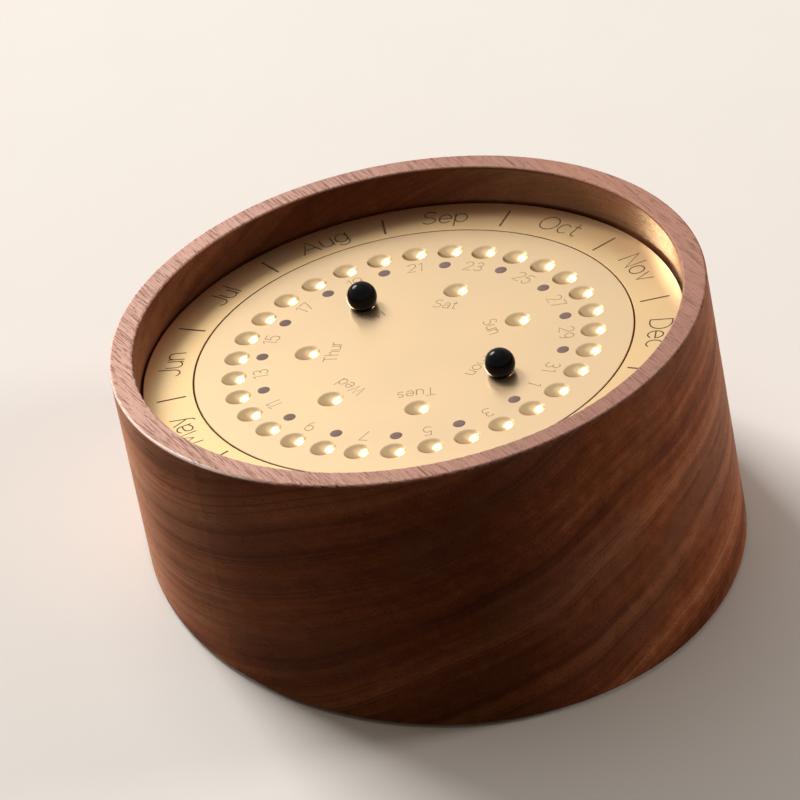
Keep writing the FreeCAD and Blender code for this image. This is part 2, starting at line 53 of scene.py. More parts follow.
Colour = tuple[float, float, float]
Point = tuple[float, float]
Band = tuple[float, float]
Stretch = tuple[float, float, float]
Station = tuple[Vector, Vector, float]
Socket = bpy.types.NodeSocket
Values = dict[int | str, Any]

EVEN: Stretch = (1, 1, 1)
MIDDLE = 0.5


class Body(Enum):
    """The bodies that pieces ride on."""

    DRUM = "drum"
    RING = "ring"


class Blend(Enum):
    """The ways in which one colour is laid over another."""

    MIX = "MIX"
    SCREEN = "SCREEN"


@dataclass(frozen=True)
class Pattern:
    """A noise or a scatter of cells, by its size, its layers and how its axes are stretched."""

    scale: float
    detail: float = 2.0
    roughness: float = 0.5
    stretch: Stretch = EVEN


def tinted(colour: Colour, times: float, plus: float = 0.0) -> Colour:
    """A colour made lighter or darker."""
    red, green, blue = (min(1.0, part * times + plus) for part in colour)
    return red, green, blue


# ---- Shader writing ----


class Number:
    """A shader value. Python's operators on it add the Math nodes that work the result out."""

    def __init__(self, sheet: "Sheet", socket: Socket) -> None:
        """Wraps a socket of a sheet's tree."""
        self.sheet = sheet
        self.socket = socket

    def _math(self, operation: str, first: Any, second: Any = 0.0) -> "Number":
        """The result of one Math node, by Blender's name of its operation."""
        return self.sheet.number("ShaderNodeMath", {"operation": operation}, {0: first, 1: second})

    def __add__(self, other: Any) -> "Number":
        """The sum."""
        return self._math("ADD", self, other)

    def __radd__(self, other: Any) -> "Number":
        """The sum, with the plain number first."""
        return self._math("ADD", other, self)

    def __sub__(self, other: Any) -> "Number":
        """The difference."""
        return self._math("SUBTRACT", self, other)

    def __rsub__(self, other: Any) -> "Number":
        """The difference, with the plain number first."""
        return self._math("SUBTRACT", other, self)

    def __mul__(self, other: Any) -> "Number":
        """The product."""
        return self._math("MULTIPLY", self, other)

    def __truediv__(self, other: Any) -> "Number":
        """The quotient."""
        return self._math("DIVIDE", self, other)

    def swing(self, size: float) -> "Number":
        """A noise turned into a swing about 0, size being its whole range."""
        return (self - MIDDLE) * size

    def away_from(self, level: float) -> "Number":
        """The distance to a level."""
        return self._math("ABSOLUTE", self - level)

    def larger(self, other: "Number") -> "Number":
        """The larger of two values."""
        return self._math("MAXIMUM", self, other)

    def step(self, low: float, high: float) -> "Number":
        """A smooth climb from 0 to 1.

        Args:
            low: The value at which the climb starts.
            high: The value at which it ends; below low, the climb runs backwards.

        Returns:
            The climb's height.
        """
        inputs: Values = {"Value": self, "From Min": low, "From Max": high}
        settings = {"interpolation_type": "SMOOTHSTEP"}
        return self.sheet.number("ShaderNodeMapRange", settings, inputs, "Result")


class Sheet:
    """One node tree, and the calls that write a finish on it."""

    def __init__(self, owner: bpy.types.Material | bpy.types.World) -> None:
        """Starts an empty tree for a material or a world."""
        owner.use_nodes = True
        self.owner = owner
        self.tree = owner.node_tree
        self.tree.nodes.clear()

    def node(
        self, kind: str, settings: Values | None = None, inputs: Values | None = None
    ) -> bpy.types.Node:
        """Adds a node.

        Args:
            kind: The node's type.
            settings: Its properties by name; "stops" holds a ramp's places and colours.
            inputs: Values or links of its sockets, by name or number.

        Returns:
            The node.
        """
        node = self.tree.nodes.new(kind)
        for name, value in (settings or {}).items():
            if name == "stops":
                ramp = node.color_ramp
                while len(ramp.elements) < len(value):
                    ramp.elements.new(1.0)
                for element, (place, colour) in zip(ramp.elements, value):
                    element.position = place
                    element.color = (*colour, 1.0)
            else:
                setattr(node, name, value)
        for key, value in (inputs or {}).items():
            socket = node.inputs[key]
            if isinstance(value, Number):
                value = value.socket
            if isinstance(value, Socket):
                self.tree.links.new(value, socket)
            elif isinstance(value, (tuple, list, Vector)) and socket.type == "RGBA":
                socket.default_value = (*value, 1.0)
            else:
                socket.default_value = value
        return node

    def number(self, kind: str, settings: Values, inputs: Values, output: int | str = 0) -> Number:
        """Adds a node and takes one of its outputs."""
        return Number(self, self.node(kind, settings, inputs).outputs[output])

    def axes(self, place: Matrix) -> Socket:
        """Object coordinates in a piece's own axes, in millimetres.

        Args:
            place: Those axes in the frame.

        Returns:
            The vector socket.
        """
        inputs: Values = {
            "Vector": self.node("ShaderNodeTexCoord").outputs["Object"],
            "Location": place.to_translation(),
            "Rotation": place.to_euler(),
            "Scale": (MM, MM, MM),
        }
        mapping = self.node("ShaderNodeMapping", {"vector_type": "TEXTURE"}, inputs)
        return mapping.outputs["Vector"]

    def split(self, vector: Socket) -> list[Number]:
        """The three parts of a vector."""
        parts = self.node("ShaderNodeSeparateXYZ", None, {"Vector": vector})
        return [Number(self, socket) for socket in parts.outputs]

    def joined(self, x: Any, y: Any, z: Any) -> Socket:
        """A vector of three parts."""
        return self.node("ShaderNodeCombineXYZ", None, {"X": x, "Y": y, "Z": z}).outputs["Vector"]

    def rays(self) -> tuple[Number, Number]:
        """Whether a ray comes from the camera, and whether it is a mirrored one."""
        path = self.node("ShaderNodeLightPath").outputs
        return Number(self, path["Is Camera Ray"]), Number(self, path["Is Glossy Ray"])

    def reach(self, vector: Socket) -> Number:
        """The distance from the dial's axis of a place in the dial's axes."""
        flat = self.stretched(vector, (1.0, 1.0, 0.0))
        return self.number("ShaderNodeVectorMath", {"operation": "LENGTH"}, {0: flat}, "Value")

    def stretched(self, vector: Socket, stretch: Stretch) -> Socket:
        """A vector with each part multiplied.

        Args:
            vector: The vector.
            stretch: What each part is multiplied by.

        Returns:
            The vector socket.
        """
        if stretch == EVEN:
            return vector
        node = self.node("ShaderNodeVectorMath", {"operation": "MULTIPLY"}, {0: vector, 1: stretch})
        return node.outputs["Vector"]

    def noise(self, vector: Socket, pattern: Pattern) -> Number:
        """Soft noise from 0 to 1.

        Args:
            vector: Where it is read.
            pattern: Its size, its layers and its stretch.

        Returns:
            The noise.
        """
        inputs: Values = {
            "Vector": self.stretched(vector, pattern.stretch),
            "Scale": pattern.scale,
            "Detail": pattern.detail,
            "Roughness": pattern.roughness,
        }
        return self.number("ShaderNodeTexNoise", {"noise_dimensions": "3D"}, inputs)

    def cells(self, vector: Socket, pattern: Pattern) -> Number:
        """Distance to the middle of the nearest scattered cell.

        Args:
            vector: Where it is read.
            pattern: Its size and its stretch.

        Returns:
            The distance, about 0 to 1.
        """
        place = self.stretched(vector, pattern.stretch)
        inputs: Values = {"Vector": place, "Scale": pattern.scale}
        return self.number("ShaderNodeTexVoronoi", {"voronoi_dimensions": "3D"}, inputs, "Distance")

    def mixed(self, share: Any, first: Any, second: Any, how: Blend = Blend.MIX) -> Socket:
        """Two colours mixed.

        Args:
            share: The second colour's share.
            first: A colour or its socket.
            second: A colour or its socket.
            how: The way of mixing.

        Returns:
            The colour socket.
        """
        settings = {"data_type": "RGBA", "blend_type": how.value, "clamp_factor": True}
        return self.node("ShaderNodeMix", settings, {0: share, 6: first, 7: second}).outputs[2]

    def ramp(self, value: Number, stops: Sequence[tuple[float, Colour]]) -> Socket:
        """Colours along a value."""
        return self.node("ShaderNodeValToRGB", {"stops": stops}, {"Fac": value}).outputs["Color"]

    def bump(self, height: Number, distance_mm: float, under: Socket | None = None) -> Socket:
        """A relief in the surface.

        Args:
            height: The relief, 0 to 1.
            distance_mm: What 1 stands for.
            under: A relief that this one lies on.

        Returns:
            The normal.
        """
        inputs: Values = {"Height": height, "Distance": distance_mm * MM, "Strength": 1.0}
        if under is not None:
            inputs["Normal"] = under
        return self.node("ShaderNodeBump", None, inputs).outputs["Normal"]

    def surface(self, **sockets: Any) -> bpy.types.Material:
        """Ends the tree in one shader.

        Args:
            sockets: Values or links by their sockets' names, with _ for a space.

        Returns:
            The material.
        """
        inputs = {name.replace("_", " "): value for name, value in sockets.items()}
        shader = self.node("ShaderNodeBsdfPrincipled", None, inputs)
        self.node("ShaderNodeOutputMaterial", None, {"Surface": shader.outputs[0]})
        return self.owner


# ---- The dial's place, from the frame ----


@dataclass(frozen=True)
class DialPlace:
    """Where the dial's own axes stand in the frame."""

    lean: float
    centre: Vector

    @staticmethod
    def from_joint() -> "DialPlace":
        """Reads the place from the joint on which the month ring turns."""
        joint = next(j for j in frame["joints"] if j["name"] == "month_ring_turn")
        return DialPlace(math.asin(-joint["axis"][1]), Vector(joint["pos_m"]))

    def axes(self) -> Matrix:
        """The dial's axes as a matrix."""
        return Matrix.Translation(self.centre) @ Matrix.Rotation(self.lean, 4, "X")


DIAL = DialPlace.from_joint()


# ---- Finishes ----
#
# A band holds the two values between which a step climbs. A share says how much of a colour is
# laid on top. A pattern's scale is in features to a millimetre.


@dataclass(frozen=True)
class Walnut:
    """Oiled walnut, sawn so that its rings lie nearly flat and its fibres cross the rim."""

    fibre_turn: float = math.radians(74.0)
    ring_tilt: float = math.atan(0.34)
    # The side on which the key light falls, towards which painted light is laid.
    pale_side: float = math.radians(-44.0)
    rim_level_mm: float = 7.95
    rim_outer_mm: float = 60.0
    rim_inner_mm: float = 55.2

    dark: Colour = (0.06, 0.015, 0.0058)
    middle: Colour = (0.182, 0.053, 0.02)
    light: Colour = (0.37, 0.145, 0.068)
    pale: Colour = (0.54, 0.26, 0.145)
    dusk: Colour = (0.15, 0.064, 0.038)
    streak: Colour = (0.04, 0.0105, 0.0045)
    pore: Colour = (0.032, 0.01, 0.0052)
    # Partly painted light: sanded end grain, made paler than the side for the light on the top, and
    # paler still towards the lit side.
    sanded: Colour = (0.46, 0.26, 0.21)
    sanded_dark: Colour = (0.34, 0.175, 0.138)
    sanded_pale: Colour = (0.765, 0.495, 0.42)
    # Painted light: a paler colour screened over the wood towards the lit side.
    faded: Colour = (0.34, 0.165, 0.105)
    # Painted highlight: a pale colour laid on the outer arris towards the lit side.
    arris: Colour = (0.95, 0.76, 0.66)

    slow_wave: Pattern = Pattern(0.016, 1.0, stretch=(1, 0.5, 1))
    slow_wave_mm: float = 16.0
    ripple: Pattern = Pattern(0.055, 1.0, stretch=(1, 0.3, 0.6))
    ripple_mm: float = 2.4

    base_tone: float = 0.47
    tone_stops: Sequence[float] = (0.26, 0.48, 0.72, 0.96)
    broad_rings: Pattern = Pattern(0.1)
    broad_share: float = 0.95
    narrow_rings: Pattern = Pattern(0.8, 2.0, 0.6)
    narrow_share: float = 0.24
    figure: Pattern = Pattern(0.4, stretch=(1, 0.06, 1))
    figure_share: float = 0.24
    fibre: Pattern = Pattern(4.0, 3.0, 0.62, (1, 0.04, 1))
    fibre_share: float = 0.26
    long_grain_band: Band = (0.95, 0.3)
    long_grain_share: float = 0.2

    patches: Pattern = Pattern(0.035, 1.0, stretch=(1, 0.35, 1.6))
    patch_band: Band = (0.48, 0.68)
    patch_share: float = 0.42
    ring_lines: Pattern = Pattern(0.17, 3.0, 0.62)
    line_band: Band = (0.036, 0.004)
    line_fading: Pattern = Pattern(0.08, stretch=(1, 0.3, 2))
    fading_band: Band = (0.34, 0.56)
    line_share: float = 0.4

    open_pores: Pattern = Pattern(1.7, stretch=(1, 0.045, 1))
    pore_band: Band = (0.32, 0.1)
    pore_crowd: Pattern = Pattern(0.35, stretch=(1, 0.2, 1))
    crowd_band: Band = (0.3, 0.56)
    pore_share: float = 0.6
    nicks: Pattern = Pattern(2.6, stretch=(1, 0.16, 1))
    nick_band: Band = (0.3, 0.12)
    nick_crowd: Pattern = Pattern(0.5)
    nick_crowd_band: Band = (0.36, 0.6)
    nick_share: float = 0.55

    faded_band: Band = (0.84, 1.0)
    faded_share: float = 0.75
    bore_band_mm: Band = (0.5, 0.2)
    bore_share: float = 0.42

    rim_band_mm: Band = (0.0, 0.35)
    rim_share: float = 0.78
    sanded_band: Band = (-0.6, 1.0)
    saw_hair: Pattern = Pattern(1.9, 2.0, 0.6, (1, 0.035, 1))
    hair_band: Band = (0.045, 0.01)
    rim_fibre_band: Band = (0.52, 0.7)
    rim_fibre_share: float = 0.35

    outer_band_mm: Band = (-0.45, -0.12)
    arris_band_mm: Band = (-0.3, 0.1)
    arris_share: float = 0.8
    rubbed_band: Band = (0.36, 0.8)
    chips: Pattern = Pattern(0.9, 3.0)
    chip_band: Band = (0.52, 0.6)
    chip_share: float = 0.6

    wall_band_mm: Band = (0.0, -0.3)
    wall_side_band: Band = (0.1, -0.7)
    wall_oil: float = 0.33
    arris_oil_band_mm: Band = (-0.4, 0.0)
    arris_oil: float = 0.08
    rubbed_arris_oil: float = 0.92
    oil_roughness: float = 0.2
    oil_ior: float = 2.0
    roughness: float = 0.5
    fibre_roughness: float = 0.12
    pore_roughness: float = 0.2
    gloss: float = 0.07
    fibre_relief_mm: float = 0.03
    pore_relief_mm: float = 0.05

    def grain_axes(self) -> Matrix:
        """Axes across the fibres, along them and through the growth rings."""
        turn = Matrix.Rotation(self.fibre_turn - math.pi / 2, 4, "Z")
        return DIAL.axes() @ turn @ Matrix.Rotation(self.ring_tilt, 4, "Y")

    def timber(self, sheet: Sheet, grain: Socket, fibre: Number, long_grain: Number) -> Socket:
        """The wood's colour before its pores and its rim.

        Args:
            sheet: The sheet.
            grain: The grain's axes.
            fibre: Fine fibre noise.
            long_grain: 1 where the surface runs along the fibres, which leaves it paler.

        Returns:
            The colour socket.
        """
        _, _, depth = sheet.split(grain)
        slow = sheet.noise(grain, self.slow_wave).swing(self.slow_wave_mm)
        ripple = sheet.noise(grain, self.ripple).swing(self.ripple_mm)
        layer = sheet.joined(depth + slow + ripple, 0.0, 0.0)
        tone = (
            self.base_tone
            + sheet.noise(layer, self.broad_rings).swing(self.broad_share)
            + sheet.noise(layer, self.narrow_rings).swing(self.narrow_share)
            + sheet.noise(grain, self.figure).swing(self.figure_share)
            + fibre.swing(self.fibre_share)
            + long_grain * self.long_grain_share
        )
        tones = (self.dark, self.middle, self.light, self.pale)
        wood = sheet.ramp(tone, list(zip(self.tone_stops, tones)))
        patch = sheet.noise(grain, self.patches).step(*self.patch_band)
        wood = sheet.mixed(patch * self.patch_share, wood, self.dusk)
        contour = sheet.noise(layer, self.ring_lines).away_from(MIDDLE)
        fading = sheet.noise(grain, self.line_fading)
        lines = contour.step(*self.line_band) * fading.step(*self.fading_band)
        return sheet.mixed(lines * self.line_share, wood, self.streak)

    def sawn_rim(self, sheet: Sheet, grain: Socket, fibre: Number, sunny: Number) -> Socket:
        """The colour of the sanded end grain on the rim, made paler partly as painted top light.

        Args:
            sheet: The sheet.
            grain: The grain's axes.
            fibre: Fine fibre noise.
            sunny: How far a place lies towards the drum's lit side, -1 to 1.

        Returns:
            The colour socket.
        """
        hair = sheet.noise(grain, self.saw_hair).away_from(MIDDLE).step(*self.hair_band)
        cut_lines = hair + fibre.step(*self.rim_fibre_band) * self.rim_fibre_share
        # Painted light: the rim turns paler towards the lit side.
        sanded = sheet.mixed(sunny.step(*self.sanded_band), self.sanded, self.sanded_pale)
        return sheet.mixed(cut_lines, sanded, self.sanded_dark)

    def material(self) -> bpy.types.Material:
        """Writes the finish.

        Returns:
            The material.
        """
        sheet = Sheet(bpy.data.materials.new("oiled_walnut"))
        grain = sheet.axes(self.grain_axes())
        dial = sheet.axes(DIAL.axes())
        across, up, rise = sheet.split(dial)
        _, along, _ = sheet.split(grain)
        reach = sheet.reach(dial)
        above = rise - self.rim_level_mm
        towards_sun = across * math.cos(self.pale_side) + up * math.sin(self.pale_side)
        sunny = towards_sun / self.rim_outer_mm
        long_grain = (along.away_from(0.0) / reach).step(*self.long_grain_band)
        fibre = sheet.noise(grain, self.fibre)

        wood = self.timber(sheet, grain, fibre, long_grain)
        # Painted light: the wood towards the lit side is screened paler, in place of the key light
        # on it.
        faded = sunny.step(*self.faded_band) * self.faded_share
        wood = sheet.mixed(faded, wood, self.faded, Blend.SCREEN)
        # Painted shade: the inner wall of the bore is mixed towards the dark tone.
        bore = (reach - self.rim_inner_mm).step(*self.bore_band_mm)
        side = sheet.mixed(bore * self.bore_share, wood, self.dark)

        rim = above.step(*self.rim_band_mm)
        # Partly painted light: the top of the rim takes the paler sanded colour.
        wood = sheet.mixed(rim * self.rim_share, side, self.sawn_rim(sheet, grain, fibre, sunny))
        outer = (reach - self.rim_outer_mm).step(*self.outer_band_mm)
        # Painted highlight: towards the lit side the outer arris is mixed to a pale colour; the
        # same mask also adds coat there.
        lightened = sunny.step(*self.rubbed_band)
        edge = outer * above.step(*self.arris_band_mm)
        sharp = edge * (1.0 - lightened)
        chips = sheet.noise(dial, self.chips).step(*self.chip_band)
        wood = sheet.mixed(sharp * self.arris_share, wood, side)
        wood = sheet.mixed(sharp * chips * self.chip_share, wood, self.streak)
        wood = sheet.mixed(edge * lightened * self.arris_share, wood, self.arris)

        crowd = sheet.noise(grain, self.pore_crowd).step(*self.crowd_band)
        pores = sheet.cells(grain, self.open_pores).step(*self.pore_band) * crowd
        nick_crowd = sheet.noise(dial, self.nick_crowd).step(*self.nick_crowd_band)
        nicks = sheet.cells(grain, self.nicks).step(*self.nick_band) * nick_crowd * rim
        hollows = (pores * self.pore_share).larger(nicks * self.nick_share)
        wood = sheet.mixed(hollows, wood, self.pore)

        wall = bore * above.step(*self.wall_band_mm) * sunny.step(*self.wall_side_band)
        polished = outer * (self.arris_oil + lightened * self.rubbed_arris_oil)
        relief = sheet.bump(fibre, self.fibre_relief_mm)
        return sheet.surface(
            Base_Color=wood,
            Roughness=self.roughness + fibre * self.fibre_roughness + pores * self.pore_roughness,
            Specular_IOR_Level=self.gloss,
            Coat_Weight=wall * self.wall_oil + polished * above.step(*self.arris_oil_band_mm),
            Coat_Roughness=self.oil_roughness,
            Coat_IOR=self.oil_ior,
            Normal=sheet.bump(1.0 - pores, self.pore_relief_mm, relief),
        )


@dataclass(frozen=True)
class SatinBrass:
    """Fine blasted brass, with painted shade in the cut between the disc and the ring and in the
    dimples.
    """

    name: str
    colour: Colour = (0.92, 0.675, 0.412)
    tarnish: Colour = (0.86, 0.61, 0.31)
    # Painted shade: a dark, non-metal colour for the walls of the cut between disc and ring.
    edge: Colour = (0.32, 0.19, 0.07)
    # Painted shade and reflection: a darker, more saturated colour laid in the dimples.
    bowl: Colour = (0.68, 0.47, 0.24)
    roughness: float = 0.32
    cloud_roughness: float = 0.06
    grit_roughness: float = 0.08
    cut_roughness: float = 0.4
    polish: float = 0.02
    cloud: Pattern = Pattern(0.06, 3.0)
    cloud_band: Band = (0.35, 0.85)
    tarnish_share: float = 0.35
    grit: Pattern = Pattern(9.0)
    grit_relief_mm: float = 0.003
    split_mm: float = 44.4
    cut_band_mm: Band = (0.2, 0.16)
    cut_depth_band_mm: Band = (-0.05, -0.1)
    dimple_band_mm: Band = (-0.06, -0.22)
    dimple_share: float = 0.75

    def material(self) -> bpy.types.Material:
        """Writes the finish.

        Returns:
            The material.
        """
        sheet = Sheet(bpy.data.materials.new(self.name))
        dial = sheet.axes(DIAL.axes())
        _, _, rise = sheet.split(dial)
        cloud = sheet.noise(dial, self.cloud)
        grit = sheet.noise(dial, self.grit)
        cut = sheet.reach(dial).away_from(self.split_mm).step(*self.cut_band_mm)
        cut = cut * rise.step(*self.cut_depth_band_mm)
        dimple = rise.step(*self.dimple_band_mm) * (1.0 - cut)
        tarnished = cloud.step(*self.cloud_band) * self.tarnish_share
        colour = sheet.mixed(tarnished, self.colour, self.tarnish)
        # Painted shade and reflection: the dimples take the darker bowl colour.
        colour = sheet.mixed(dimple * self.dimple_share, colour, self.bowl)
        rough = self.roughness + cloud.swing(self.cloud_roughness)
        rough = rough + grit.swing(self.grit_roughness) + cut * self.cut_roughness
        return sheet.surface(
            # Painted shade: the cut's walls take the dark colour and lose their metal.
            Base_Color=sheet.mixed(cut, colour, self.edge),
            Metallic=1.0 - cut,
            Roughness=rough - dimple * self.polish,
            Normal=sheet.bump(grit, self.grit_relief_mm),
        )


@dataclass(frozen=True)
class GlossBlack:
    """A polished black ball."""

    colour: Colour = (0.004, 0.004, 0.005)
    smeared: Colour = (0.008, 0.007, 0.008)
    smears: Pattern = Pattern(0.5)
    roughness: float = 0.09
    smear_roughness: float = 0.05
    gloss: float = 0.08

    def material(self) -> bpy.types.Material:
        """Writes the finish.

        Returns:
            The material.
        """
        sheet = Sheet(bpy.data.materials.new("gloss_black"))
        smear = sheet.noise(sheet.axes(DIAL.axes()), self.smears)
        return sheet.surface(
            Base_Color=sheet.mixed(smear, self.colour, self.smeared),
            Roughness=self.roughness + smear * self.smear_roughness,
            Specular_IOR_Level=self.gloss,
        )


@dataclass(frozen=True)
class Paint:
    """Printed or filled-in marking colour."""

    name: str
    colour: Colour
    roughness: float = 0.7
    gloss: float = 0.2
    wear: Pattern = Pattern(1.4)
    wear_band: Band = (0.45, 0.8)
    wear_share: float = 0.5
    wear_roughness: float = 0.15
    worn_times: float = 1.5
    worn_plus: float = 0.01

    def material(self) -> bpy.types.Material:
        """Writes the finish.

        Returns:
            The material.
        """
        sheet = Sheet(bpy.data.materials.new(self.name))
        worn = sheet.noise(sheet.axes(DIAL.axes()), self.wear)
        lightened = worn.step(*self.wear_band) * self.wear_share
        paler = tinted(self.colour, self.worn_times, self.worn_plus)
        return sheet.surface(
            Base_Color=sheet.mixed(lightened, self.colour, paler),
            Roughness=self.roughness + worn.swing(self.wear_roughness),
            Specular_IOR_Level=self.gloss,
        )


@dataclass(frozen=True)
class Metal:
    """A plain turned or rolled metal."""

    name: str
    colour: Colour
    roughness: float
    tool_marks: Pattern = Pattern(2.5, 3.0)
    mark_relief_mm: float = 0.006
    mark_roughness: float = 0.2
    stain: Pattern = Pattern(0.12, 3.0)
    stain_band: Band = (0.4, 0.8)
    stain_share: float = 0.6
    stain_times: float = 0.82

    def material(self) -> bpy.types.Material:
        """Writes the finish.

        Returns:
            The material.
        """
        sheet = Sheet(bpy.data.materials.new(self.name))
        place = sheet.axes(DIAL.axes())
        marks = sheet.noise(place, self.tool_marks)
        stained = sheet.noise(place, self.stain).step(*self.stain_band) * self.stain_share
        return sheet.surface(
            Base_Color=sheet.mixed(stained, self.colour, tinted(self.colour, self.stain_times)),
            Metallic=1.0,
            Roughness=self.roughness + marks.swing(self.mark_roughness),
            Normal=sheet.bump(marks, self.mark_relief_mm),
        )


@dataclass(frozen=True)
class Coated:
    """A painted or moulded surface with a fine orange-peel skin."""

    name: str
    colour: Colour
    roughness: float
    relief_mm: float
    peel: Pattern = Pattern(2.2)
    peel_roughness: float = 0.12
    cloud: Pattern = Pattern(0.08)
    cloud_times: float = 1.25
    cloud_plus: float = 0.004

    def material(self) -> bpy.types.Material:
        """Writes the finish.

        Returns:
            The material.
        """
        sheet = Sheet(bpy.data.materials.new(self.name))
        place = sheet.axes(DIAL.axes())
        peel = sheet.noise(place, self.peel)
        cloud = sheet.noise(place, self.cloud)
        paler = tinted(self.colour, self.cloud_times, self.cloud_plus)
        return sheet.surface(
            Base_Color=sheet.mixed(cloud, self.colour, paler),
            Roughness=self.roughness + peel.swing(self.peel_roughness),
            Normal=sheet.bump(peel, self.relief_mm),
        )


@dataclass(frozen=True)
class Felt:
    """Pressed wool."""

    colour: Colour = (0.028, 0.024, 0.021)
    fibre: Colour = (0.085, 0.074, 0.066)
    wool: Pattern = Pattern(3.2, 4.0, 0.7)
    wool_band: Band = (0.45, 0.75)
    wool_relief_mm: float = 0.12
    tufts: Pattern = Pattern(0.5, 3.0)
    tuft_roughness: float = 0.1
    roughness: float = 0.9
    sheen: float = 0.5
    sheen_roughness: float = 0.5

    def material(self) -> bpy.types.Material:
        """Writes the finish.

        Returns:
            The material.
        """
        sheet = Sheet(bpy.data.materials.new("wool_felt"))
        place = sheet.axes(DIAL.axes())
        wool = sheet.noise(place, self.wool)
        return sheet.surface(
            Base_Color=sheet.mixed(wool.step(*self.wool_band), self.colour, self.fibre),
            Roughness=self.roughness + sheet.noise(place, self.tufts).swing(self.tuft_roughness),
            Sheen_Weight=self.sheen,
            Sheen_Roughness=self.sheen_roughness,
            Normal=sheet.bump(wool, self.wool_relief_mm),
        )


def placed(name: str, data: bpy.types.ID) -> bpy.types.Object:
    """Makes an object of a mesh, a lamp or a camera, and puts it in the scene.

    Args:
        name: The object's name.
        data: What it shows.

    Returns:
        The object.
    """
    made = bpy.data.objects.new(name, data)
    bpy.context.scene.collection.objects.link(made)
    return made


# ---- Lettering ----

X_HEIGHT = 0.7
ARC_STEP = math.radians(20.0)
SAME_PLACE_MM = 1e-4
CLOSED_MM = 1e-3


def arc(cx: float, cy: float, rx: float, ry: float, start: float, end: float) -> list[Point]:
    """A stroke along an ellipse.

    Args:
        cx: The ellipse's centre, across.
        cy: The ellipse's centre, up.
        rx: Its half width.
        ry: Its half height.
        start: The angle at which the stroke starts, in degrees.
        end: The angle at which it ends.

    Returns:
        The stroke's points.
    """
    first, last = math.radians(start), math.radians(end)
    count = max(3, math.ceil(abs(last - first) / ARC_STEP))
    angles = [first + (last - first) * step / count for step in range(count + 1)]
    return [(cx + rx * math.cos(a), cy + ry * math.sin(a)) for a in angles]


@dataclass(frozen=True)
class Glyph:
    """One letter or figure as strokes, where a capital's height is 1."""

    width: float
    strokes: Sequence[Sequence[Point]]


